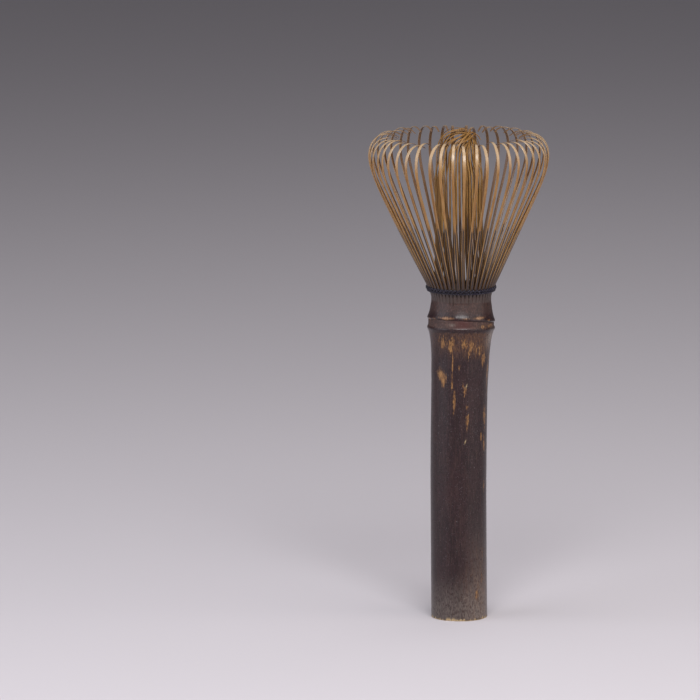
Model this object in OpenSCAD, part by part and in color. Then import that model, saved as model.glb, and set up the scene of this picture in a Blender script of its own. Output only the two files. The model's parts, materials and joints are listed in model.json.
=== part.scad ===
// Long-handled bamboo tea whisk.
// One culm of black bamboo: its lower end is the handle, and above the node its wall is split
// into a flaring ring of outer tines and a slim bundle of inner tines, parted by twined thread.
// Millimetres. +Z runs up the handle, and the origin is the centre of the handle's foot.

/* [Handle] */
// Diameter of the straight stretch of the handle
handle_d = 19.6; // [18:0.1:21]
// Height at which the handle starts to widen towards the node
handle_straight = 80; // [60:1:84]
// Diameter of the hollow inside the handle
bore_d = 14; // [12:0.5:15]
// Height at which the hollow ends under the node's wall
bore_depth = 101.5; // [98:0.5:102]
// Thickness of the node's wall across the culm
septum = 1.8; // [1:0.1:2.5]
// Radius of the worn edges at the foot
foot_round = 0.4; // [0.2:0.1:0.8]

/* [Node and collar] */
// Diameter over the node's two ridges
ridge_d = 23.6; // [22.5:0.1:24.5]
// Diameter of the groove between the ridges
groove_d = 22.9; // [22:0.1:23.5]
// Diameter of the neck above the node
neck_d = 20.9; // [20.5:0.1:21.5]
// Diameter of the collar's rim, where the slits end
rim_d = 21.6; // [21.2:0.1:22]
// Diameter inside the rim
rim_bore_d = 18; // [16:0.2:18.2]

/* [Outer tines] */
// Number of outer tines, and of inner tines
tine_count = 48; // [16:8:48]
// Turn of the first outer tine from the +X axis, in degrees
tine_phase = 2.5; // [0:0.5:7.5]
// Angle by which the tines flare from the vertical, in degrees
flare = 26.1; // [20:0.1:30]
// Angle through which a tine turns back from root to tip, in degrees
curl = 145.8; // [100:0.1:160]
// Length along a tine
tine_len = 67; // [60:0.5:72]
// Thickness at the root
root_thick = 0.75; // [0.6:0.05:0.75]
// Thickness at the tip
tip_thick = 0.18; // [0.1:0.02:0.3]
// Width at the root
root_width = 0.75; // [0.5:0.05:0.75]
// Width at the widest place
full_width = 1.1; // [0.8:0.05:1.4]
// Width at the tip
tip_width = 0.3; // [0.2:0.05:0.6]

/* [Inner tines] */
// Width of an inner tine
inner_width = 0.5; // [0.3:0.05:0.5]
// Thickness at the root
inner_thick = 0.5; // [0.3:0.05:0.5]
// Thickness at the tip
inner_tip_thick = 0.2; // [0.1:0.02:0.3]

/* [Thread] */
// Diameter of a twined strand
strand_d = 0.28; // [0.2:0.02:0.28]
// Diameter of the wrapped thread under the twined ones
wrap_d = 0.45; // [0.3:0.05:0.45]
// Mean radius of the twined ring
twine_r = 11.14; // [11.12:0.01:11.16]
// How far a strand swings in and out from the mean radius
twine_swing = 0.94; // [0.92:0.01:0.96]
// How far a strand is above or below the ring's middle where it crosses its partner
twine_rise = 0.17; // [0.16:0.01:0.18]

/* [Hidden] */

SECTORS = ["a", "b", "c", "d", "e", "f", "g", "h"];

// Heights
ridge_low_z = 102.8;
groove_z = 104.2;
ridge_high_z = 105.6;
neck_z = 111.9;
rim_z = 114.4;
hook_z = 158;
twine_z = 116.6;
wrap_z = 115.7;

// The point that an outer tine bends about, just above the rim
hinge_r = 10.31;
hinge_z = 114.95;
knuckle_r = 0.45;

// Bend of an outer tine: where it starts along the tine, and how late it tightens
bend_start = 16.2;
bend_power = 3.75;

pitch = 360 / tine_count;
tines_per_sector = tine_count / len(SECTORS);
outer_steps = 26;
curve_steps = 4;
wrap_r = 11.56;
strand_sides = 6;

// Middle line of an inner tine, as radius and height
INNER_LINE = [
    [9.45, 114.6], [8.9, 121], [8.3, 130], [7.9, 145],
    [8.1, 157], [7.9, 165], [6.9, 170.7], [5.5, 173.1]
];

// Outside of the culm from the end of the straight stretch to the rim
CULM_LINE = [
    [handle_d / 2, handle_straight],
    [handle_d / 2 + 0.2, 87],
    [handle_d / 2 + 0.6, 96],
    [handle_d / 2 + 1.05, 99.5],
    [ridge_d / 2 - 0.3, 101.9],
    [ridge_d / 2, ridge_low_z],
    [groove_d / 2, groove_z],
    [ridge_d / 2, ridge_high_z],
    [ridge_d / 2 - 0.45, 107],
    [neck_d / 2 + 0.35, 109.1],
    [neck_d / 2, neck_z],
    [rim_d / 2, rim_z]
];

DARK_SKIN = "#33292c";
SHAVED = "#c39a63";
INNER_TAN = "#9a7445";
THREAD = "#2b2436";

// Names
function two_digits(k) = k < 10 ? str("0", k) : str(k);
function outer_name(k) = str("outer_tine_", two_digits(k));
function inner_name(letter) = str("inner_tines_", letter);

// Eased step from 0 to 1
function ease(x) = x * x * (3 - 2 * x);

// Smooth curve through a list of points, each stretch in curve_steps pieces
function between(a, b, c, d, t) = 0.5 * (
    2 * b + (c - a) * t + (2 * a - 5 * b + 4 * c - d) * t * t
    + (3 * b - a - 3 * c + d) * t * t * t
);
function curve(p) = let (last = len(p) - 1) concat(
    [for (i = [0:last - 1], j = [0:curve_steps - 1])
        between(p[max(i - 1, 0)], p[i], p[i + 1], p[min(i + 2, last)], j / curve_steps)],
    [p[last]]
);

// Outline of a strip along a line: the offsets of both sides taper from root to tip
function normal_at(line, i) = let (
    d = line[min(i + 1, len(line) - 1)] - line[max(i - 1, 0)]
) [d[1], -d[0]] / norm(d);
function strip(line, half) = concat(
    [for (i = [0:len(line) - 1]) line[i] + half[i] * normal_at(line, i)],
    [for (i = [len(line) - 1:-1:0]) line[i] - half[i] * normal_at(line, i)]
);

// Outer tine: distance along it, its slope there, and its middle line
function along(i) = tine_len * pow(i / outer_steps, 0.7);
function bend(s) = max(0, (s - bend_start) / (tine_len - bend_start));
function slope(s) = flare - curl * ease(pow(bend(s), bend_power));
function step_of(i) = let (a = along(i - 1), b = along(i), m = (a + b) / 2)
    (b - a) * [sin(slope(m)), cos(slope(m))];
OUTER_LINE = [for (i = 0, p = [hinge_r, hinge_z]; i <= outer_steps; i = i + 1, p = p + step_of(i)) p];
OUTER_HALF = [for (i = [0:outer_steps])
    tip_thick / 2 + (root_thick - tip_thick) / 2 * pow(1 - along(i) / tine_len, 1.3)];

// Inner tine: thickness falls evenly from root to tip
INNER_CURVE = curve(INNER_LINE);
INNER_HALF = [for (i = [0:len(INNER_CURVE) - 1])
    (inner_thick + (inner_tip_thick - inner_thick) * i / (len(INNER_CURVE) - 1)) / 2];

// Twined strand: three rings for each tine, before, at and after it. It passes outside one tine
// and inside the next, high on its way in and low on its way out.
function strand_side(i) = floor(i / 3) % 2 == 0 ? 1 : -1;
function strand_point(i, sign) = let (
    step = i % 3 - 1,
    side = sign * strand_side(i),
    a = (floor(i / 3) + 0.387 * step) * pitch,
    r = twine_r + side * twine_swing
) [r * cos(a), r * sin(a), twine_z + side * step * twine_rise];

// The whole culm: handle, node and collar, hollow from below and above the node's wall
module culm_handle() {
    bore_r = bore_d / 2;
    handle_r = handle_d / 2;
    foot_arc = [for (a = [0:22.5:90])
        [handle_r - foot_round * (1 - sin(a)), foot_round * (1 - cos(a))]];
    color(DARK_SKIN)
    rotate_extrude($fn = 96)
    polygon(concat(
        [[0, bore_depth], [bore_r, bore_depth], [bore_r, foot_round], [bore_r + foot_round, 0]],
        foot_arc,
        curve(CULM_LINE),
        [
            [rim_bore_d / 2, rim_z],
            [rim_bore_d / 2 - 0.7, neck_z],
            [rim_bore_d / 2 - 1.2, bore_depth + septum + 1],
            [rim_bore_d / 2 - 2.2, bore_depth + septum],
            [0, bore_depth + septum]
        ]
    ));
}

// Space that gives a tine its width: full up to the hook, then narrowing towards the tip
module tine_width() {
    reach = 34;
    narrow_from = 29;
    tip_r = 19;
    rotate([90, 0, 90])
    linear_extrude(reach)
    polygon([
        [-root_width / 2, hinge_z - 1], [root_width / 2, hinge_z - 1],
        [root_width / 2, hinge_z + 3], [full_width / 2, hinge_z + 15],
        [full_width / 2, hook_z], [-full_width / 2, hook_z],
        [-full_width / 2, hinge_z + 15], [-root_width / 2, hinge_z + 3]
    ]);
    translate([0, 0, hook_z])
    linear_extrude(20)
    polygon([
        [tip_r, -tip_width / 2], [narrow_from, -full_width / 2], [reach, -full_width / 2],
        [reach, full_width / 2], [narrow_from, full_width / 2], [tip_r, tip_width / 2]
    ]);
}

// Outer tine: a tapered strip that flares straight out and hooks back in
module outer_tine(k) {
    color(SHAVED)
    rotate(tine_phase + (k - 1) * pitch) {
        intersection() {
            rotate([90, 0, 0])
            linear_extrude(2 * full_width, center = true)
            polygon(strip(OUTER_LINE, OUTER_HALF));
            tine_width();
        }
        translate([hinge_r, 0, hinge_z])
        rotate([90, 0, 0])
        cylinder(r = knuckle_r, h = root_width, center = true, $fn = 24);
    }
}

// Inner tines of one sector, each between two outer tines
module inner_tines(sector) {
    color(INNER_TAN)
    for (j = [0:tines_per_sector - 1])
        rotate(tine_phase + (sector * tines_per_sector + j + 0.5) * pitch)
        rotate([90, 0, 0])
        linear_extrude(inner_width, center = true)
        polygon(strip(INNER_CURVE, INNER_HALF));
}

// One strand of the twined ring, a closed tube: sign is 1 or -1 for the strand's partner
module twined_strand(sign) {
    rings = 3 * tine_count;
    path = [for (i = [0:rings - 1]) strand_point(i, sign)];
    points = [for (i = [0:rings - 1])
        let (
            ahead = path[(i + 1) % rings] - path[(i + rings - 1) % rings],
            along_it = ahead / norm(ahead),
            side = cross(along_it, [0, 0, 1]),
            across = side / norm(side),
            up = cross(across, along_it)
        )
        for (j = [0:strand_sides - 1])
            path[i] + strand_d / 2 * (cos(360 * j / strand_sides) * across
                + sin(360 * j / strand_sides) * up)];
    faces = [for (i = [0:rings - 1], j = [0:strand_sides - 1])
        let (
            here = i * strand_sides,
            next = (i + 1) % rings * strand_sides,
            turn = (j + 1) % strand_sides
        )
        each [
            [here + j, here + turn, next + turn],
            [here + j, next + turn, next + j]
        ]];
    color(THREAD)
    rotate(tine_phase)
    polyhedron(points, faces);
}

// Thread wrapped once around the tine roots, under the twined strands
module thread_lower_wrap() {
    color(THREAD)
    rotate_extrude($fn = 96)
    translate([wrap_r, wrap_z])
    circle(d = wrap_d, $fn = 24);
}

culm_handle();

for (k = [1:tine_count])
    outer_tine(k);

for (i = [0:len(SECTORS) - 1])
    inner_tines(i);

twined_strand(1);  // thread_twined_strand_a

twined_strand(-1);  // thread_twined_strand_b

thread_lower_wrap();
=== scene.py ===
"""Long-handled bamboo tea whisk: black bamboo culm, 48 outer and 48 inner tines, twined thread."""
import json
import math

import bpy
import numpy as np
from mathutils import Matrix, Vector


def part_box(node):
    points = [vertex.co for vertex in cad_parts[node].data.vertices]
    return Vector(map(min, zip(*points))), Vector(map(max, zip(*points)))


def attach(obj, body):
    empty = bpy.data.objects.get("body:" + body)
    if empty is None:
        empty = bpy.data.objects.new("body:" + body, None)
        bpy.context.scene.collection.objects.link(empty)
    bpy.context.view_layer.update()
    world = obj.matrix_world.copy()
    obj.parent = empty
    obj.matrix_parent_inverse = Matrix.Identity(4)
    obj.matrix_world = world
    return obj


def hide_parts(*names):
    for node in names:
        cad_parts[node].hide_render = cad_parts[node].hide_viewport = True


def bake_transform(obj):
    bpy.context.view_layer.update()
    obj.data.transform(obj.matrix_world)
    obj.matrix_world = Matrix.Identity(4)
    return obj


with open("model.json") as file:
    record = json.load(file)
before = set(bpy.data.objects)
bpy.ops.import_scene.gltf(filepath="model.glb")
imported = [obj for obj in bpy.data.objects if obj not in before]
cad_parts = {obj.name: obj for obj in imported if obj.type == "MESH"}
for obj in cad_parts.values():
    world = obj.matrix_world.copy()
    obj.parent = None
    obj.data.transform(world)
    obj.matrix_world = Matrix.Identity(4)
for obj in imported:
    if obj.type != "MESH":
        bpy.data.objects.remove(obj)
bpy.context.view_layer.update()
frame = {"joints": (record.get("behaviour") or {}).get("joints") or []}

# Lengths below are in millimetres, angles in degrees. An angle round the culm is counted from
# the front (-Y), positive towards +X.
MM = 0.001

HINGES = {joint["child"]: joint for joint in frame["joints"]}
OUTER_BODIES = sorted(body for body in HINGES if body.startswith("outer_tine"))
INNER_BODIES = sorted(body for body in HINGES if body.startswith("inner_tines"))
TINES = len(OUTER_BODIES)
PITCH = 360 / TINES
PER_SECTOR = TINES // len(INNER_BODIES)

ROOT_R = math.hypot(*HINGES[OUTER_BODIES[0]]["pos_m"][:2]) / MM
ROOT_Z = HINGES[OUTER_BODIES[0]]["pos_m"][2] / MM
RIM_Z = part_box("culm_handle")[1].z / MM
TWINE_LOW, TWINE_HIGH = (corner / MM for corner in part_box("thread_twined_strand_a"))
WRAP_LOW, WRAP_HIGH = (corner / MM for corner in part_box("thread_lower_wrap"))

# Culm
HANDLE_R = 9.8
BORE_R = 7.0
BORE_TOP = 101.5
SEPTUM_TOP = 103.3
FOOT_ROUND = 0.4
CULM_AROUND = 288
# Outside of the culm, as height and radius
CULM_LINE = [
    (0.4, 9.8), (30, 9.76), (60, 9.8), (80, 9.83), (87, 10.0), (92, 10.12), (96, 10.4), (98, 10.6),
    (99.3, 10.8), (100.7, 11.08), (101.7, 11.42), (102.25, 11.68), (102.6, 11.79), (102.95, 11.77),
    (103.2, 11.64), (103.45, 11.5), (103.9, 11.45), (104.4, 11.45), (104.65, 11.38), (104.8, 11.44),
    (105.0, 11.68), (105.25, 11.79), (105.55, 11.75), (105.95, 11.62), (106.5, 11.4), (107.3, 11.16),
    (108.4, 10.92), (109.6, 10.73), (110.8, 10.57), (111.9, 10.46),
]
# Height at which the slits between the tines end
SLIT_Z = 112.2
# Height from which the outside turns from the neck into the tines' own curve
COLLAR_START = 110.5
# How far the wood between the tines lies behind their outer faces
SLIT_RECESS = 0.16

# Outer tines: flare from the vertical, turn back to the tip, length, and where and how late they bend
FLARE = 26.1
CURL = 145.8
TINE_LEN = 67.0
BEND_START = 16.2
BEND_POWER = 3.75
# Heights between which a tine leans out of the upright collar, and how far it runs below them
LEAN_LOW = 111.4
LEAN_HIGH = 116.6
SUNK = 0.6
LINE_STEPS = 400
LEAN_STEPS = 40
# Width and thickness, each as distances from the root and values there
OUTER_WIDTH = ([-4, 0, 4, 14, 44, 58, 63, 67], [1.22, 1.12, 0.9, 0.92, 0.98, 1.06, 0.86, 0.5])
OUTER_THICK = ([-4, 0, 8, 25, 34, 45, 56, 67], [0.95, 0.82, 0.84, 0.78, 0.62, 0.42, 0.26, 0.12])
OUTER_BEVEL = ([2, 6, 34, 44], [0.1, 0.3, 0.26, 0.14])
# Thickness of the wood near the root, as heights and values there
ROOT_THICK = ([111, 114, 120], [0.95, 0.9, 0.8])
# The most that the sideways turns of two neighbouring tips may bring them together, so that their
# hooks don't pass through each other
TIP_CLOSING = 3.0

UP = np.array([0.0, 0.0, 1.0])

# Seeds of the random draws
CULM_SEED = 11
BORE_SEED = 3
OUTER_SEED = 48
INNER_SEED = 96


def ease(x):
    """Eased step from 0 to 1."""
    x = np.clip(x, 0, 1)
    return x * x * (3 - 2 * x)


def bell(*offsets):
    """1 where every offset is 0, falling smoothly to 0 away from there."""
    return np.exp(-sum(offset ** 2 for offset in offsets))


def turn_from(angle, at):
    """Angle counted from at, between -180 and 180."""
    return (angle - at + 180) % 360 - 180


def spline(points, steps=12):
    """Smooth curve through points (one row each), in steps pieces between each pair."""
    p = np.asarray(points, float)
    q = np.vstack([2 * p[0] - p[1], p, 2 * p[-1] - p[-2]])
    t = np.linspace(0, 1, steps, endpoint=False)[:, None]
    rows = []
    for a, b, c, d in zip(q, q[1:], q[2:], q[3:]):
        rows.append(0.5 * (2 * b + (c - a) * t + (2 * a - 5 * b + 4 * c - d) * t ** 2
                           + (3 * b - a - 3 * c + d) * t ** 3))
    return np.vstack(rows + [p[-1:]])


def distances(path):
    """Distance of each point along a line from its first one."""
    return np.concatenate([[0], np.cumsum(np.linalg.norm(np.diff(path, axis=0), axis=1))])


def resample(path, count, power):
    """The line with count points, and their distances; power under 1 gathers them at the end."""
    walked = distances(path)
    wanted = walked[-1] * np.linspace(0, 1, count) ** power
    columns = [np.interp(wanted, walked, path[:, k]) for k in range(path.shape[1])]
    return np.stack(columns, 1), wanted


# The culm isn't quite straight: sideways shift of its middle line with height
BOW = spline([(0, 0.2), (28, -0.03), (52, -0.16), (77, 0.05), (96, 0.5), (106, 0.65),
              (116, 0.6), (135, 0.0), (155, -0.3), (175, -0.35)])


def bowed(points):
    """Points (mm) shifted sideways by the culm's bow."""
    out = np.array(points, float)
    out[:, 0] += np.interp(out[:, 2], BOW[:, 0], BOW[:, 1])
    return out


def turned(radius, angle, height):
    """Points at an angle from the front, as x, y, z."""
    a = np.radians(angle)
    return np.stack([radius * np.sin(a), -radius * np.cos(a), height + 0 * a], -1)


def front_angle(pos):
    """Angle from the front of a point in the frame."""
    return math.degrees(math.atan2(pos[0], -pos[1]))


class Mesh:
    """Vertices, faces and named point values of one piece, gathered before it is made."""

    def __init__(self):
        self.points = []
        self.faces = []
        self.values = {}
        self.count = 0

    def add(self, points, faces, **values):
        self.points.append(points)
        self.faces += [tuple(int(k) + self.count for k in face) for face in faces]
        for key, value in values.items():
            self.values.setdefault(key, []).append(np.broadcast_to(value, len(points)))
        self.count += len(points)

    def make(self, name, material, sharp=30):
        mesh = bpy.data.meshes.new(name)
        mesh.from_pydata((bowed(np.vstack(self.points)) * MM).tolist(), [], self.faces)
        for key, parts in self.values.items():
            attribute = mesh.attributes.new(key, "FLOAT", "POINT")
            attribute.data.foreach_set("value", np.concatenate(parts).astype(np.float32))
        mesh.polygons.foreach_set("use_smooth", [True] * len(mesh.polygons))
        mesh.set_sharp_from_angle(angle=math.radians(sharp))
        mesh.materials.append(material)
        mesh.update()
        piece = bpy.data.objects.new(name, mesh)
        bpy.context.scene.collection.objects.link(piece)
        return piece


def grid_faces(rows, columns, wrap_rows=False):
    """Faces of a tube of points stored row by row; wrap_rows also joins its two ends."""
    faces = []
    for i in range(rows if wrap_rows else rows - 1):
        for j in range(columns):
            here, up = i * columns, (i + 1) % rows * columns
            turn = (j + 1) % columns
            faces.append((here + j, here + turn, up + turn, up + j))
    return faces


# ------------------------------------------------------------------ materials

def colour(code):
    """Linear colour with alpha from a code such as #a07a50."""
    parts = [int(code[k:k + 2], 16) / 255 for k in (1, 3, 5)]
    return [p / 12.92 if p <= 0.04045 else ((p + 0.055) / 1.055) ** 2.4 for p in parts] + [1]


class Nodes:
    """Short ways to add the nodes of one material."""

    def __init__(self, name):
        self.material = bpy.data.materials.new(name)
        self.material.use_nodes = True
        self.tree = self.material.node_tree
        self.shader = self.tree.nodes["Principled BSDF"]

    def add(self, kind, settings=None, **sockets):
        made = self.tree.nodes.new("ShaderNode" + kind)
        for key, value in (settings or {}).items():
            setattr(made, key, value)
        for key, value in sockets.items():
            self.put(made.inputs[key.replace("_", " ")], value)
        return made

    def put(self, socket, value):
        if isinstance(value, bpy.types.NodeSocket):
            self.tree.links.new(value, socket)
        else:
            socket.default_value = value

    def value(self, name):
        return self.add("Attribute", {"attribute_name": name}).outputs["Fac"]

    def place(self, stretch=(1, 1, 1)):
        """Position on the piece in millimetres, times stretch."""
        where = self.add("TexCoord").outputs["Object"]
        scale = [k / MM for k in stretch]
        return self.add("Mapping", Vector=where, Scale=scale).outputs["Vector"]

    def noise(self, vector, scale, detail, rough=0.55):
        made = self.add("TexNoise", Vector=vector, Scale=scale, Detail=detail, Roughness=rough)
        return made.outputs["Fac"]

    def math(self, operation, a, b):
        made = self.add("Math", {"operation": operation})
        self.put(made.inputs[0], a)
        self.put(made.inputs[1], b)
        return made.outputs[0]

    def remap(self, value, low, high, to_low=0.0, to_high=1.0):
        made = self.add("MapRange", {"interpolation_type": "SMOOTHSTEP"}, Value=value,
                        From_Min=low, From_Max=high, To_Min=to_low, To_Max=to_high)
        return made.outputs[0]

    def mix(self, factor, a, b):
        made = self.add("Mix", {"data_type": "RGBA"})
        for index, value in ((0, factor), (6, a), (7, b)):
            self.put(made.inputs[index], value)
        return made.outputs[2]

    def ramp(self, value, stops):
        made = self.add("ValToRGB", Fac=value)
        ramp = made.color_ramp
        while len(ramp.elements) < len(stops):
            ramp.elements.new(0.5)
        for element, (at, code) in zip(ramp.elements, stops):
            element.position = at
            element.color = colour(code)
        return made.outputs["Color"]

    def bump(self, height, distance):
        made = self.add("Bump", Height=height, Distance=distance * MM, Strength=1.0)
        self.put(self.shader.inputs["Normal"], made.outputs["Normal"])

    def finish(self, base, rough, **fixed):
        self.put(self.shader.inputs["Base Color"], base)
        self.put(self.shader.inputs["Roughness"], rough)
        for key, value in fixed.items():
            self.shader.inputs[key.replace("_", " ")].default_value = value
        return self.material


def culm_material():
    """Black bamboo skin with tan patches and dust, and bare wood where it is cut or chipped."""
    n = Nodes("black_bamboo_skin")
    bare = n.value("bare")
    cut = n.value("cut")
    warm = n.value("warm")
    dusty = n.value("dusty")
    fine = n.noise(n.place((1, 1, 0.4)), 2.4, 4)
    grit = n.noise(n.place((1, 1, 0.7)), 2.1, 3, 0.7)
    streaks = n.noise(n.place((1.5, 1.5, 0.10)), 1.6, 5, 0.7)
    clouds = n.noise(n.place((1, 1, 0.3)), 0.14, 3)
    specks = n.noise(n.place((1, 1, 0.8)), 2.6, 2, 0.7)

    skin = n.ramp(clouds, [(0.3, "#150608"), (0.5, "#1a080a"), (0.7, "#230f10")])
    skin = n.mix(n.remap(grit, 0.42, 0.68, 0, 0.38), skin, colour("#40272c"))
    skin = n.mix(n.remap(streaks, 0.46, 0.72, 0, 0.5), skin, colour("#442f2a"))
    warmth = n.math("MULTIPLY", warm, n.remap(streaks, 0.38, 0.62, 0.25, 1))
    skin = n.mix(warmth, skin, colour("#5a3d2a"))
    mottle = n.remap(n.noise(n.place((1, 1, 0.4)), 1.0, 3, 0.7), 0.52, 0.66, 0, 0.75)
    skin = n.mix(n.math("MULTIPLY", warm, mottle), skin, colour("#77522f"))
    brown = n.value("brown")
    even = n.math("MULTIPLY", brown, n.remap(streaks, 0.35, 0.65, 0.5, 1))
    speckled = n.ramp(grit, [(0.36, "#33221d"), (0.5, "#442f28"), (0.64, "#5c4136")])
    skin = n.mix(even, skin, speckled)
    skin = n.mix(n.math("MULTIPLY", n.value("red"), 0.75), skin, colour("#45211e"))
    skin = n.mix(n.remap(specks, 0.62, 0.74, 0, 0.5), skin, colour("#81777a"))
    bloom = n.math("MULTIPLY", dusty, n.remap(fine, 0.36, 0.64, 0.3, 1))
    skin = n.mix(bloom, skin, colour("#857a72"))

    polish = n.value("polish")
    ragged = n.math("ADD", n.remap(streaks, 0.36, 0.64, -0.5, 0.42),
                    n.remap(fine, 0.34, 0.66, -0.22, 0.22))
    ragged = n.math("MULTIPLY", ragged, n.remap(polish, 0, 1, 1, 0.35))
    field = n.math("ADD", bare, n.math("MULTIPLY", ragged, n.remap(bare, 0, 0.25)))
    edge = n.remap(field, 0.28, 0.62)
    core = n.remap(field, 0.52, 0.9)
    tan = n.ramp(fine, [(0.3, "#664527"), (0.5, "#7d5831"), (0.7, "#926c41")])
    tan = n.mix(n.math("MULTIPLY", polish, 0.6), tan, colour("#8a6a54"))
    base = n.mix(n.math("MULTIPLY", edge, 0.8), skin, colour("#553822"))
    base = n.mix(core, base, tan)

    wood = n.ramp(n.noise(n.place(), 1.8, 4), [(0.3, "#a88a5c"), (0.6, "#cdb68c"), (0.8, "#e0d8c6")])
    base = n.mix(cut, base, wood)
    rough = n.math("ADD", n.remap(fine, 0.3, 0.7, 0.26, 0.38), n.math("MULTIPLY", cut, 0.3))
    rough = n.math("ADD", rough, n.math("MULTIPLY", brown, 0.22))
    grain = n.math("ADD", n.math("MULTIPLY", streaks, 0.6), n.math("MULTIPLY", fine, 0.4))
    grain = n.math("MULTIPLY", grain, n.remap(polish, 0, 1, 1, 0.15))
    n.bump(grain, 0.04)
    return n.finish(base, rough, Specular_IOR_Level=0.38)


# Dark skin on a tine's outer face, along its free stretch and at the collar
SKIN = [(0.3, "#190d0c"), (0.55, "#281817"), (0.8, "#433029")]
COLLAR = [(0.3, "#241713"), (0.5, "#34241e"), (0.7, "#48332a")]


def tine_material(name, shaved_stops, hook_pale_and_highlight, painted_tip_shade, inside, root_side, roughness, gloss):
    """A split tine: dark skin on the outer face near the root, shaved wood above and at the sides."""
    n = Nodes(name)
    outer = n.value("outer")
    inner = n.value("inner")
    skin_left = n.value("skin")
    tint = n.value("tint")
    along = n.value("along")
    grain_at = n.add("CombineXYZ", X=n.math("MULTIPLY", n.value("across"), 5),
                     Y=n.math("MULTIPLY", along, 0.22), Z=n.math("MULTIPLY", tint, 40)).outputs[0]
    grain = n.noise(grain_at, 1.0, 5, 0.6)

    skin = n.mix(n.remap(along, 5, 9, 1, 0), n.ramp(grain, SKIN), n.ramp(grain, COLLAR))
    tone = n.math("ADD", n.remap(grain, 0.3, 0.7, 0, 0.6), n.math("MULTIPLY", tint, 0.4))
    shaved = n.ramp(tone, shaved_stops)
    # A pale band along each hook: partly paler, thinner shaved wood, partly a painted highlight.
    shaved = n.mix(n.remap(along, 53, 62), shaved, colour(hook_pale_and_highlight))
    # Painted shade: the tip past each hook's crest is darker, standing in for the shade on the back
    # hooks.
    shaved = n.mix(n.remap(along, 65.5, 68.5), shaved, colour(painted_tip_shade))
    root = n.mix(n.remap(along, 8, 22), colour("#52381f"), colour(root_side))
    side = n.mix(n.remap(along, 12, 44, 1, 0), shaved, root)
    flat = n.remap(outer, 0.5, 0.8)
    worn = n.math("ADD", skin_left, n.remap(grain, 0.3, 0.7, -0.45, 0.45))
    face = n.mix(n.remap(worn, 0.35, 0.65), shaved, skin)
    base = n.mix(flat, side, face)
    # A bright tan line along the outer chamfers just above the collar: partly their shaved wood, partly a
    # painted highlight.
    corner = n.math("MULTIPLY", n.remap(outer, 0.02, 0.25), n.remap(outer, 0.45, 0.75, 1, 0))
    corner = n.math("MULTIPLY", corner, n.remap(along, 7, 16, 0, 0.75))
    base = n.mix(corner, base, colour("#a98552"))
    # Painted shade: the inner faces take the darker inside colour, standing in for the shade they lie in.
    base = n.mix(n.math("MULTIPLY", inner, 0.85), base, colour(inside))
    n.bump(grain, 0.03)
    rough = n.math("ADD", n.remap(grain, 0.3, 0.7, 0, 0.12),
                   n.remap(along, 6, 30, 0.46, roughness))
    return n.finish(base, rough, Specular_IOR_Level=gloss)


def thread_material():
    """Dark navy cotton with a fuzz of grey fibres along its twist; the palest flecks are partly painted
    glints.
    """
    n = Nodes("dark_cotton_thread")
    fibres = n.noise(n.place(), 9, 3)
    twist = n.add("TexWave", {"wave_type": "BANDS", "bands_direction": "DIAGONAL"},
                  Vector=n.place(), Scale=6, Distortion=3, Detail=2).outputs["Fac"]
    # The palest stop is partly grey fibre and partly painted glints on the thread.
    base = n.ramp(n.math("ADD", n.math("MULTIPLY", fibres, 0.6), n.math("MULTIPLY", twist, 0.4)),
                  [(0.35, "#06020d"), (0.58, "#12091c"), (0.8, "#463d5c")])
    n.bump(n.math("ADD", fibres, twist), 0.04)
    return n.finish(base, 0.42, Sheen_Weight=0.08, Sheen_Roughness=0.4, Specular_IOR_Level=0.5)


# ------------------------------------------------------------------ culm

# Tan patches on the front and sides: angle, height, half width, half length, strength
PATCHES = [
    (-36, 98.6, 1.7, 2.2, 0.62), (-17.5, 98.4, 0.8, 1.8, 1.0), (-20, 96.2, 0.7, 1.6, 1.0),
    (-16.5, 90.0, 0.22, 5.6, 1.35), (-16, 83, 0.3, 2.2, 0.9), (4, 98.2, 0.9, 1.6, 0.8),
    (9, 97.2, 0.6, 1.5, 0.85), (20, 96.9, 0.8, 1.9, 0.9), (15.5, 93.8, 0.45, 1.6, 1.0),
    (36, 96.0, 2.2, 2.8, 0.7), (51, 92.0, 0.9, 2.2, 1.1), (-46, 87.0, 1.2, 1.9, 1.0),
    (-37, 85.4, 1.5, 2.3, 1.15), (10, 81.3, 0.5, 1.8, 0.95), (6, 83.3, 0.35, 1.2, 0.85),
    (-12, 77.4, 0.6, 3.2, 1.1), (16, 70.6, 0.6, 3.0, 1.05), (15, 75.6, 0.35, 1.0, 0.85),
    (63, 71.6, 0.8, 4.2, 0.9), (51, 64.6, 0.6, 1.2, 0.9), (62, 61.6, 0.6, 3.0, 0.85),
    (72, 86, 0.8, 6.0, 0.95), (63, 47, 0.5, 2.6, 0.65), (-2, 90, 0.4, 1.0, 0.7),
    (-28, 107.0, 3.2, 0.7, 0.85), (-54, 106.5, 1.6, 0.5, 0.65), (33, 107.0, 2.6, 0.66, 0.85),
    (54, 105.9, 1.4, 0.5, 0.65), (62, 103.9, 2.4, 0.8, 0.8), (44, 103.9, 2.6, 0.9, 0.62),
    (8, 107.0, 2.2, 0.6, 0.6), (40, 8.4, 1.0, 2.2, 0.5), (52, 14, 0.6, 2.4, 0.48),
    (57, 24, 0.5, 2.0, 0.45),
]
BACK_PATCHES = 34
BACK_NODE_PATCHES = 7


def back_patches(rng):
    """Patches of the same kind on the sides and back, more of them near the node."""
    patches = []
    for _ in range(BACK_PATCHES):
        near_node = rng.random() < 0.6
        height = rng.uniform(88, 100) if near_node else rng.uniform(12, 96)
        wide = rng.uniform(0.5, 1.8) if near_node else rng.uniform(0.35, 0.8)
        at = rng.uniform(95, 275)
        patches.append((at, height, wide, rng.uniform(1.2, 3.6), rng.uniform(0.55, 1.0)))
    for _ in range(BACK_NODE_PATCHES):
        at, height = rng.uniform(80, 290), rng.uniform(105.4, 106.2)
        patches.append((at, height, rng.uniform(1, 2.4), 0.6, rng.uniform(0.7, 1.0)))
    return patches


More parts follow.
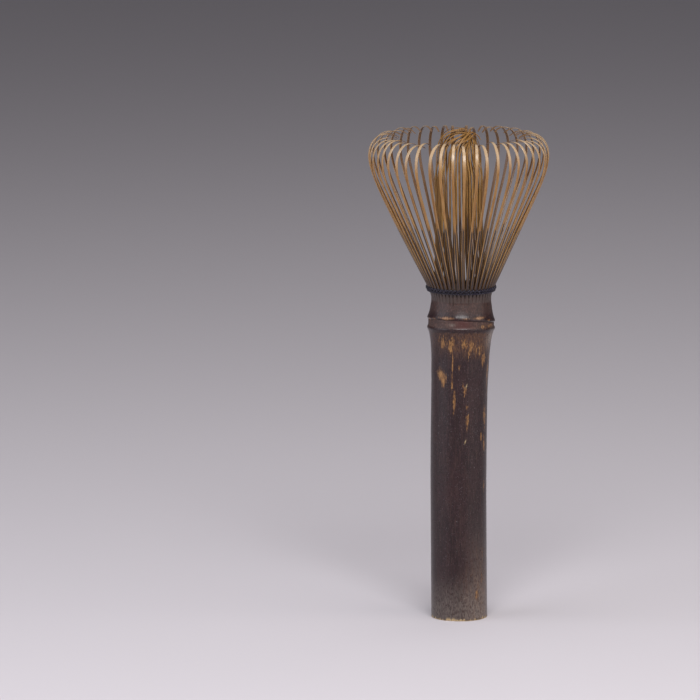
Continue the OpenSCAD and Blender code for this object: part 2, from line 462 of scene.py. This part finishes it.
def patch_field(patches, angle, height, radius):
    """How bare the skin is: 1 at the middle of a patch, falling to 0 well outside it."""
    field = np.zeros(np.broadcast(angle, height).shape)
    for at, mid, wide, long, strength in patches:
        x = np.radians(turn_from(angle, at)) * radius / wide
        z = (height - mid) / long
        pinch = 1 + 0.8 * np.clip(-z, 0, 1)
        near = strength * np.clip(1.25 - 0.75 * np.sqrt((x * pinch) ** 2 + z ** 2), 0, 1)
        field = np.maximum(field, near)
    return field


def dust_field(angle, height):
    """Pale dust: a smudge under the node, a worn spot in its groove, a haze and a scratch at the foot."""
    smudge = 0.9 * bell(turn_from(angle, 68) / 13, (height - 99.2) / 3.2)
    worn = 0.5 * bell(turn_from(angle, -17) / 7, (height - 104.8) / 0.6)
    right = bell(turn_from(angle, 48) / 30)
    foot = 0.4 * ease((19 - height) / 18) + 0.26 * right * ease((46 - height) / 40)
    arc = 8.0 + 1.3 * ease((angle - 7) / 22)
    scratch = 0.8 * bell((height - arc) / 0.13) * (np.abs(angle - 18) < 11)
    return np.maximum.reduce(np.broadcast_arrays(smudge, worn, foot, scratch))


# Bright nicks in the skin, painted with the pale cut-wood colour, partly as the glints they catch: angle
# and height
NICKS = [(13, 83.1), (12.5, 63.5)]


def nick_field(angle, height):
    """1 on the slanted nicks, 0 away from them."""
    field = 0 * angle + 0 * height
    for at, mid in NICKS:
        across = np.radians(turn_from(angle, at)) * HANDLE_R - 0.3 * (height - mid)
        field = np.maximum(field, bell(across / 0.16, (height - mid) / 0.6))
    return field


def node_lift(angle, height):
    """How far the node's ridges sit above their mean height: the upper one rises at the front."""
    a = np.radians(angle)
    low = -0.3 - 0.14 * np.sin(a) + 0.6 * np.cos(a)
    high = 0.1 - 0.6 * np.sin(a) + 1.35 * np.cos(a)
    share = np.interp(height, [103.2, 104.6], [0, 1])
    fade = ease((height - 96) / 6) * ease((113 - height) / 7)
    return fade * (low * (1 - share) + high * share)


def waves(angle, rng, orders, size):
    """A closed ripple round the culm, made of a few waves."""
    total = np.zeros_like(angle, dtype=float)
    for order in orders:
        total += np.sin(np.radians(angle) * order + rng.uniform(0, 6.28)) * rng.uniform(0.5, 1)
    return size * total / math.sqrt(len(orders))


def collar_r(height):
    """Outer radius of the wood between the neck and the first free stretch of the tines."""
    path = outer_path()
    outside = path[:, 0] + 0.5 * root_thickness(path[:, 1]) / np.cos(np.radians(FLARE * 0.5))
    return np.interp(height, path[:, 1], outside)


def root_thickness(height):
    """Thickness of a tine near the root, by height."""
    return np.interp(height, *ROOT_THICK)


def outer_slope(s):
    """Angle of an outer tine from the vertical at a distance s along it from the root."""
    bend = np.clip((s - BEND_START) / (TINE_LEN - BEND_START), 0, 1) ** BEND_POWER
    return FLARE - CURL * ease(bend)


def outer_path():
    """Middle line of an outer tine as radius and height, from inside the collar to the tip."""
    s = np.linspace(0, TINE_LEN, LINE_STEPS)
    step = s[1]
    slope = np.radians(outer_slope(s + step / 2))
    r = ROOT_R + np.concatenate([[0], np.cumsum(np.sin(slope) * step)[:-1]])
    z = ROOT_Z + np.concatenate([[0], np.cumsum(np.cos(slope) * step)[:-1]])
    heights = np.linspace(LEAN_HIGH, LEAN_LOW - SUNK, LEAN_STEPS)
    lean = np.tan(np.radians(FLARE * ease((heights - LEAN_LOW) / (LEAN_HIGH - LEAN_LOW))))
    fall = (heights[0] - heights[1]) * (np.cumsum(lean) - lean / 2 - lean[0] / 2)
    first = int(np.argmax(z > LEAN_HIGH))
    top_r = np.interp(LEAN_HIGH, z[:first + 1], r[:first + 1])
    below = np.stack([top_r - fall, heights], 1)[::-1]
    above = np.stack([r, z], 1)[first:]
    return np.vstack([below, above])


class Rings:
    """Rings of points round the culm, one after another, with a finish value for each point."""

    FINISH = ("bare", "cut", "warm", "brown", "red", "dusty", "polish")

    def __init__(self, angle):
        self.angle = angle
        self.points = []
        self.finish = {key: [] for key in self.FINISH}

    def add(self, radius, height, **values):
        self.points.append(turned(radius + 0 * self.angle, self.angle, height + 0 * self.angle))
        for key, store in self.finish.items():
            store.append(values.get(key, 0) + 0 * self.angle)


def add_bore_and_foot(rings, chip_depth):
    """From the middle of the septum's underside out, down the bore and round the chipped foot."""
    for radius in (0.6, 2.5, 5.0, 6.4):
        rings.add(radius, BORE_TOP + 0.25 * (1 - radius / BORE_R), cut=1)
    rings.add(BORE_R - 0.1, BORE_TOP - 0.15, cut=1)
    ripple = waves(rings.angle, np.random.default_rng(BORE_SEED), (2, 3, 5), 0.05)
    for height in np.linspace(BORE_TOP - 0.8, 1.2, 60):
        rings.add(BORE_R + ripple, height, cut=1)
    for radius, height in ((BORE_R + 0.05, 0.35), (BORE_R + 0.3, 0.05), (BORE_R + 1.2, 0.0),
                           (HANDLE_R - 0.9, 0.0)):
        rings.add(radius, height, cut=1)
    rings.add(HANDLE_R - FOOT_ROUND - 0.25 * chip_depth, 0.0, cut=1)
    rings.add(HANDLE_R - 0.12 - 0.35 * chip_depth, 0.1, cut=1)
    edge_cut = np.clip(0.25 + 2 * chip_depth, 0, 1)
    rings.add(HANDLE_R - 0.03 - 0.28 * chip_depth, 0.28, cut=edge_cut)


def outside_heights():
    """Heights of the rings up the outside, closest together at the scratch, the node and the rim."""
    return np.concatenate([
        np.arange(0.5, 6.8, 0.45), np.arange(6.8, 10.2, 0.12), np.arange(10.2, 98, 0.45),
        np.arange(98, 101.5, 0.25), np.arange(101.5, 107, 0.09),
        np.arange(107, 111.6, 0.25), np.arange(111.6, RIM_Z + 0.01, 0.16),
    ])


def outside_radius(line, z, slit_end):
    """Radius of the culm's outside at a height: its own line, then the curve of the tines."""
    radius = np.interp(z, line[:, 0], line[:, 1])
    if z <= COLLAR_START:
        return radius
    join = ease((z - COLLAR_START) / 2.0)
    recess = SLIT_RECESS * ease((z - slit_end) / 0.9) - 0.02
    return radius * (1 - join) + (collar_r(z) - recess) * join


def outside_finish(patches, angle, z, height, radius, chip):
    """Finish values of one ring: z is its mean height, height that of each of its points."""
    side = bell(turn_from(angle, 32) / 55)
    below_node = ease((z - 91) / 7) * ease((102.2 - z) / 1.2) * (0.25 + 0.75 * side)
    worn_foot = 0.45 * ease((34 - z) / 28) * bell(turn_from(angle, 55) / 38)
    groove = ease((z - 102.9) / 0.5) * ease((105.0 - z) / 0.4)
    collar = 0.6 * ease((z - 106) / 3)
    return {
        "bare": patch_field(patches, angle, height, radius),
        # The nicks go into cut: real nicks whose pale colour is partly a painted glint.
        "cut": np.maximum(ease(chip * 3 - 0.4), 0.8 * nick_field(angle, height)),
        "warm": np.maximum(0.75 * below_node, worn_foot),
        "brown": 0.9 * groove + collar,
        "red": groove * bell(turn_from(angle, 2) / 17),
        "dusty": dust_field(angle, height),
        "polish": np.interp(z, [101, 102.5, 103.5, 104.6, 106.5, 108], [0, 0.35, 0.35, 1, 1, 0]),
    }


def add_outside(rings, patches, oval, ridge_wave, chip_depth, slit_end):
    """Up the outside from the foot to the rim."""
    line = spline(CULM_LINE, 10)
    for z in outside_heights():
        chip = chip_depth * np.clip(1 - z / 1.3, 0, 1)
        radius = outside_radius(line, z, slit_end) + oval - 0.22 * chip
        height = z + node_lift(rings.angle, z) + ridge_wave * bell((z - 104.2) / 2.2)
        finish = outside_finish(patches, rings.angle, z, height, radius, chip)
        rings.add(radius, height, **finish)


def add_rim_and_cup(rings):
    """Over the rim, down the cup and across the septum's upper side."""
    rings.add(collar_r(RIM_Z) - SLIT_RECESS - 0.35, RIM_Z, cut=0.25)
    rings.add(9.15, RIM_Z, cut=0.25)
    for radius, height in ((8.95, RIM_Z - 0.3), (8.6, 112), (8.2, 109), (7.9, 106), (7.6, 104.6),
                           (6.8, SEPTUM_TOP + 0.25), (5.0, SEPTUM_TOP), (2.5, SEPTUM_TOP),
                           (0.6, SEPTUM_TOP)):
        rings.add(radius, height, cut=0.35)


def make_culm(material):
    rng = np.random.default_rng(CULM_SEED)
    patches = PATCHES + back_patches(rng)
    angle = np.arange(CULM_AROUND) * 360 / CULM_AROUND
    oval = waves(angle, rng, (2, 3), 0.05)
    ridge_wave = waves(angle, rng, (3, 5, 8), 0.06)
    chips = waves(angle, rng, (5, 9, 14, 23, 31, 47), 0.9)
    chip_depth = np.clip(chips + 0.55 * bell(turn_from(angle, -22) / 38), 0, 1)
    slit_end = SLIT_Z + waves(angle, rng, (7, 11, 19), 0.12)

    rings = Rings(angle)
    add_bore_and_foot(rings, chip_depth)
    add_outside(rings, patches, oval, ridge_wave, chip_depth, slit_end)
    add_rim_and_cup(rings)

    count = len(rings.points)
    last = (count - 1) * CULM_AROUND
    caps = [tuple(range(CULM_AROUND))[::-1], tuple(range(last, last + CULM_AROUND))]
    finish = {key: np.concatenate(store) for key, store in rings.finish.items()}
    mesh = Mesh()
    mesh.add(np.vstack(rings.points), grid_faces(count, CULM_AROUND) + caps, **finish)
    piece = mesh.make("bamboo_culm", material, sharp=50)
    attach(piece, "culm")
    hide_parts("culm_handle")


# ------------------------------------------------------------------ tines

def add_strip(mesh, path, out, width, thick, bevel, skin, tint):
    """A flat tapered strip along path; out points from its inner face to its outer one."""
    tangent = np.gradient(path, axis=0)
    tangent /= np.linalg.norm(tangent, axis=1)[:, None]
    across = np.cross(tangent, out)
    across /= np.linalg.norm(across, axis=1)[:, None]
    normal = np.cross(across, tangent)
    w, t = width[:, None] / 2, thick[:, None] / 2
    c = np.minimum(bevel[:, None] * width[:, None], 0.7 * t)
    # Each corner of the section: how far across, how far out, and its share of each face's finish
    corners = [(w - c, t, 1, 0), (w, t - c, 0, 0), (w, c - t, 0, 0.4), (w - c, -t, 0, 1),
               (c - w, -t, 0, 1), (-w, c - t, 0, 0.4), (-w, t - c, 0, 0), (c - w, t, 1, 0)]
    rows, columns = len(path), len(corners)
    points = np.stack([path + x * across + y * normal for x, y, _, _ in corners], 1)
    walked = distances(path)
    collar = np.repeat(1 - ease((walked - 3.6) / 2.4), columns)
    outer = np.maximum(np.tile([share for _, _, share, _ in corners], rows), collar)
    inner = np.tile([share for _, _, _, share in corners], rows) * (1 - collar)
    side = np.hstack([x for x, _, _, _ in corners])
    faces = [face[::-1] for face in grid_faces(rows, columns)]
    faces += [tuple(range(columns)), tuple(range((rows - 1) * columns, rows * columns))[::-1]]
    mesh.add(points.reshape(-1, 3), faces, outer=outer, inner=inner, tint=tint,
             skin=np.repeat(skin, columns), along=np.repeat(walked, columns), across=side.ravel())


def flex(piece):
    """Bakes the tine's placement into its mesh."""
    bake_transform(piece)


def make_outer_tines(material):
    rng = np.random.default_rng(OUTER_SEED)
    base = outer_path()
    flat, s = resample(base, 64, 0.8)
    s = s - (ROOT_Z - base[0, 1])
    up = np.clip(s / TINE_LEN, 0, 1)
    hook = ease((s - 38) / 26)
    slope = np.radians(outer_slope(s))
    width, thick, bevel = (np.interp(s, *table) for table in (OUTER_WIDTH, OUTER_THICK, OUTER_BEVEL))
    tip = -math.inf
    for body in OUTER_BODIES:
        angle = front_angle(HINGES[body]["pos_m"])
        radius = flat[:, 0] + rng.normal(0, 0.28) * up ** 2
        height = flat[:, 1] + rng.normal(0, 0.35) * hook
        lean = 0.4 - 2.2 * math.exp(-((angle + 43) / 17) ** 2) + rng.normal(0, 0.35)
        tip = max(rng.normal(0, 2.0), tip - TIP_CLOSING)
        sway = lean * ease(s / 45) + tip * ease((s - 50) / 17) ** 2
        level = turned(np.ones_like(s), angle + sway, 0 * s)
        out = level * np.cos(slope)[:, None] - np.outer(np.sin(slope), UP)
        skin_end = 25.8 + 2.2 * math.cos(math.radians(angle)) + rng.normal(0, 1.2)
        skin = 1 - ease((s - skin_end + 1.5) / 3)
        mesh = Mesh()
        path = turned(radius, angle + sway, height)
        add_strip(mesh, path, out, width, thick, bevel, skin, rng.random())
        piece = mesh.make("bamboo_" + body, material)
        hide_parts(body)
        flex(piece)


# Inner tines: middle line as radius and height up to the dome that their ends form
INNER_LINE = [(10.15, 111.6), (10.1, 113.0), (9.8, 114.6), (9.4, 116.4), (9.0, 119.5), (8.7, 125),
              (8.3, 133), (8.1, 145), (8.25, 155)]
DOME_Z = 161.0
DOME_R = 8.1
DOME_RISE = 11.6
# How much squarer than an ellipse the dome's left shoulder is
SHOULDER = 0.9
# Width and thickness, each as distances from the root and values there. From INNER_END on, a tine
# has its end's thickness.
INNER_WIDTH = ([0, 4, 12, 40, 54, 72], [0.36, 0.42, 0.55, 0.6, 0.5, 0.3])
INNER_THICK = ([0, 5, 30, 45], [0.5, 0.45, 0.3, 0.22])
INNER_END = 60
END_THICK = 0.12
STRAY_END_THICK = 0.3
# Where the ends gather on the dome, and the front tine that springs out of it
KNOT = np.array([0.52, -0.16, 0.84])
STRAY_ANGLE = -24
STRAY_LEN = 5.0
STRAY_FALL = 68
STRAY_HEADING = (1.0, 0.05, 0.0)
STRAY_STEPS = 16


def dome_arc(rng, outward, turn, scale):
    """Points and outward directions along the dome, from its foot towards the knot and past it."""
    knot = KNOT + rng.normal(0, 0.07, 3)
    points = []
    normals = []
    for u in np.linspace(0, turn, 40)[1:]:
        aim = (1 - ease(u / 1.1)) * UP + ease(u / 1.1) * knot
        aim /= np.linalg.norm(aim)
        between = math.acos(float(outward @ aim))
        direction = (math.sin(between - u) * outward + math.sin(u) * aim) / math.sin(between)
        power = 2 + SHOULDER * ease(0.5 - direction[0] / 1.2)
        level, rise = math.hypot(direction[0], direction[1]), abs(direction[2])
        reach = scale * (level ** power + rise ** power) ** (-1 / power)
        points.append(reach * direction * (DOME_R, DOME_R, DOME_RISE) + (0, 0, DOME_Z))
        normal = direction / (DOME_R, DOME_R, DOME_RISE)
        normals.append(normal / np.linalg.norm(normal))
    return np.array(points), np.array(normals)


def stray_tail(arc):
    """The last stretch of the stray tine, which leaves the dome and curls down beside it."""
    step = STRAY_LEN / STRAY_STEPS
    first = arc[-1] - arc[-2]
    first[2] = 0
    first /= np.linalg.norm(first)
    points = [arc[-1]]
    normals = []
    for t in np.linspace(0, 1, STRAY_STEPS):
        heading = (1 - ease(2 * t)) * first + ease(2 * t) * np.array(STRAY_HEADING)
        heading /= np.linalg.norm(heading)
        fall = math.radians(STRAY_FALL) * t
        points.append(points[-1] + step * (math.cos(fall) * heading - math.sin(fall) * UP))
        normals.append(math.sin(fall) * heading + math.cos(fall) * UP)
    return np.array(points[1:]), np.array(normals)


def inner_tine(rng, angle, stray):
    """Middle line and outward direction of one inner tine, whose end lies along the dome."""
    scale = 1.03 if stray else 1.06 - 0.26 * rng.random() ** 0.6
    lower = spline(INNER_LINE + [(DOME_R * scale, DOME_Z)])
    drift = rng.normal(0, 1.6) * ease((lower[:, 1] - 118) / 30)
    outward = turned(1.0, angle + drift[-1], 0.0)
    radius = lower[:, 0] + rng.normal(0, 0.2) * ease((160 - lower[:, 1]) / 20)
    lower = turned(radius, angle + drift, lower[:, 1])
    turn = 88 if stray else rng.uniform(96, 116)
    top, normals = dome_arc(rng, outward, math.radians(turn), scale)
    if stray:
        tail, tail_normals = stray_tail(top)
        top = np.vstack([top, tail])
        normals = np.vstack([normals, tail_normals])
    return np.vstack([lower, top]), np.vstack([np.tile(outward, (len(lower), 1)), normals])


def make_inner_tines(material):
    rng = np.random.default_rng(INNER_SEED)
    at, values = INNER_THICK
    for body in INNER_BODIES:
        root = HINGES[body]["pos_m"]
        middle = front_angle(root)
        mesh = Mesh()
        for j in range(PER_SECTOR):
            angle = middle - (j - (PER_SECTOR - 1) / 2) * PITCH
            stray = abs(angle - STRAY_ANGLE) < PITCH / 2
            path, out = inner_tine(rng, angle, stray)
            both, s = resample(np.hstack([path, out]), 60, 0.9)
            width = np.interp(s, *INNER_WIDTH)
            end_thick = STRAY_END_THICK if stray else END_THICK
            thick = np.interp(s, at + [INNER_END], values + [end_thick])
            skin_end = 29 + rng.normal(0, 2.2)
            skin = 1 - ease((s - skin_end + 4) / 8)
            bevel = np.full_like(s, 0.15)
            add_strip(mesh, both[:, :3], both[:, 3:], width, thick, bevel, skin, rng.random())
        piece = mesh.make("bamboo_" + body, material)
        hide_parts(body)
        flex(piece)


# ------------------------------------------------------------------ thread

# A CAD strand's radius and its swing in and out, which place the strand's middle
CAD_STRAND_R = 0.14
CAD_SWING = 0.94
# How far a soft strand swings in and out, and up and down where it crosses its partner
SWING = 0.8
RISE = 0.32
STEPS_PER_TINE = 26
# Radius of a ply, its distance from the thread's middle, and its twists in one round
STRAND_PLIES = (0.22, 0.17, 120)
WRAP_PLIES = (0.24, 0.19, 64)
WRAP_RIPPLE = 0.03
WRAP_STEPS = 900
PLY_SIDES = 8


def add_cord_ply(mesh, path, radius, offset, turns, phase):
    """One ply of a twisted thread that follows a closed path."""
    tangent = np.roll(path, -1, 0) - np.roll(path, 1, 0)
    tangent /= np.linalg.norm(tangent, axis=1)[:, None]
    side = np.cross(tangent, (0, 0, 1))
    side /= np.linalg.norm(side, axis=1)[:, None]
    up = np.cross(side, tangent)
    twist = 2 * math.pi * turns * np.arange(len(path)) / len(path) + phase
    middle = path + offset * (np.cos(twist)[:, None] * side + np.sin(twist)[:, None] * up)
    rings = []
    for k in range(PLY_SIDES):
        a = 2 * math.pi * k / PLY_SIDES
        rings.append(middle + radius * (math.cos(a) * side + math.sin(a) * up))
    points = np.stack(rings, 1).reshape(-1, 3)
    mesh.add(points, grid_faces(len(path), PLY_SIDES, wrap_rows=True))


def make_thread(name, node, path, plies, material):
    """Two plies twisted round each other along a closed path."""
    ply_r, offset, turns = plies
    mesh = Mesh()
    for phase in (0, math.pi):
        add_cord_ply(mesh, path, ply_r, offset, turns, phase)
    piece = mesh.make(name, material, sharp=180)
    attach(piece, "culm")
    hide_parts(node)


def make_threads(material):
    """Two strands that weave round the tines in opposite step, and a plain wrap under them."""
    first = front_angle(HINGES[OUTER_BODIES[0]]["pos_m"])
    mean_r = TWINE_HIGH.x - CAD_STRAND_R - CAD_SWING
    twine_z = (TWINE_LOW.z + TWINE_HIGH.z) / 2
    count = TINES * STEPS_PER_TINE
    angle = np.arange(count) * 360 / count
    phase = np.radians((angle - first) * TINES / 2)
    weave = np.tanh(3 * np.cos(phase)) / math.tanh(3)
    for letter, sign in (("a", 1), ("b", -1)):
        path = turned(mean_r + sign * SWING * weave, angle, twine_z + sign * RISE * np.sin(phase))
        make_thread(f"cotton_twined_strand_{letter}", f"thread_twined_strand_{letter}", path,
                    STRAND_PLIES, material)
    wrap_r = WRAP_HIGH.x - (WRAP_HIGH.z - WRAP_LOW.z) / 2
    wrap_z = (WRAP_LOW.z + WRAP_HIGH.z) / 2
    angle = np.arange(WRAP_STEPS) * 360 / WRAP_STEPS
    ripple = WRAP_RIPPLE * np.cos(np.radians(angle * TINES))
    path = turned(wrap_r + ripple, angle, wrap_z)
    make_thread("cotton_lower_wrap", "thread_lower_wrap", path, WRAP_PLIES, material)


# ------------------------------------------------------------------ stage

def make_stage():
    mesh = bpy.data.meshes.new("floor")
    half = 6.0
    corners = [(-half, -half, 0), (half, -half, 0), (half, half, 0), (-half, half, 0)]
    mesh.from_pydata(corners, [], [(0, 1, 2, 3)])
    floor = bpy.data.objects.new("floor", mesh)
    bpy.context.scene.collection.objects.link(floor)
    n = Nodes("pale_floor")
    mesh.materials.append(n.finish(colour("#d2ccd1"), 0.7, Specular_IOR_Level=0.2))


def area_light(name, at, aim, size, watts, tint=(1, 1, 1)):
    light = bpy.data.lights.new(name, "AREA")
    light.shape = "RECTANGLE"
    light.size, light.size_y = size
    light.energy = watts
    light.color = tint
    lamp = bpy.data.objects.new(name, light)
    lamp.location = at
    lamp.rotation_euler = (Vector(aim) - Vector(at)).to_track_quat("-Z", "Y").to_euler()
    bpy.context.scene.collection.objects.link(lamp)


def make_lights():
    aim = (0, 0, 0.12)
    area_light("softbox_left", (-0.85, -0.31, 0.35), aim, (0.95, 0.9), 5.2, (0.90, 0.92, 1.0))
    area_light("softbox_right", (0.78, -0.45, 0.35), aim, (0.95, 0.9), 4.2, (1.0, 0.95, 0.92))
    area_light("softbox_front", (0.05, -0.85, 0.88), aim, (0.7, 0.5), 12)
    area_light("softbox_top", (0.0, 0.05, 1.1), aim, (0.5, 0.4), 1.5)
    area_light("softbox_back", (0.25, 0.7, 0.95), aim, (0.8, 0.6), 0.8)
    world = bpy.data.worlds.new("soft_studio")
    world.use_nodes = True
    background = world.node_tree.nodes["Background"].inputs
    background["Color"].default_value = (0.94, 0.92, 1.0, 1)
    background["Strength"].default_value = 0.10
    bpy.context.scene.world = world


def make_camera():
    """Long lens, a little above the whisk, with the whisk right of the middle of the frame."""
    distance = 2.8
    elevation = math.radians(9.3)
    target = Vector((-0.038, 0, 0.0943))
    camera = bpy.data.cameras.new("camera")
    camera.sensor_width = 36
    camera.lens = 414
    camera.clip_start = 0.05
    holder = bpy.data.objects.new("camera", camera)
    holder.location = target + distance * Vector((0, -math.cos(elevation), math.sin(elevation)))
    holder.rotation_euler = (target - holder.location).to_track_quat("-Z", "Y").to_euler()
    bpy.context.scene.collection.objects.link(holder)
    bpy.context.scene.camera = holder
    bpy.context.scene.view_settings.view_transform = "Standard"


# ------------------------------------------------------------------ assembly

make_camera()
make_stage()
make_lights()

make_culm(culm_material())
# The inside and tip colours in these two calls are painted shade; the pale hook colour is partly a
# painted highlight.
make_outer_tines(tine_material(
    "shaved_outer_tine", [(0.1, "#6a430d"), (0.5, "#855b25"), (0.9, "#a27a45")], hook_pale_and_highlight="#ab9070",
    painted_tip_shade="#5f4022", inside="#4c2a00", root_side="#856130", roughness=0.27, gloss=0.65))
make_inner_tines(tine_material(
    "shaved_inner_tine", [(0.1, "#4a2a00"), (0.45, "#77511f"), (0.9, "#a07a42")], hook_pale_and_highlight="#87602f",
    painted_tip_shade="#7d5526", inside="#5c3a0a", root_side="#664319", roughness=0.40, gloss=0.35))
make_threads(thread_material())
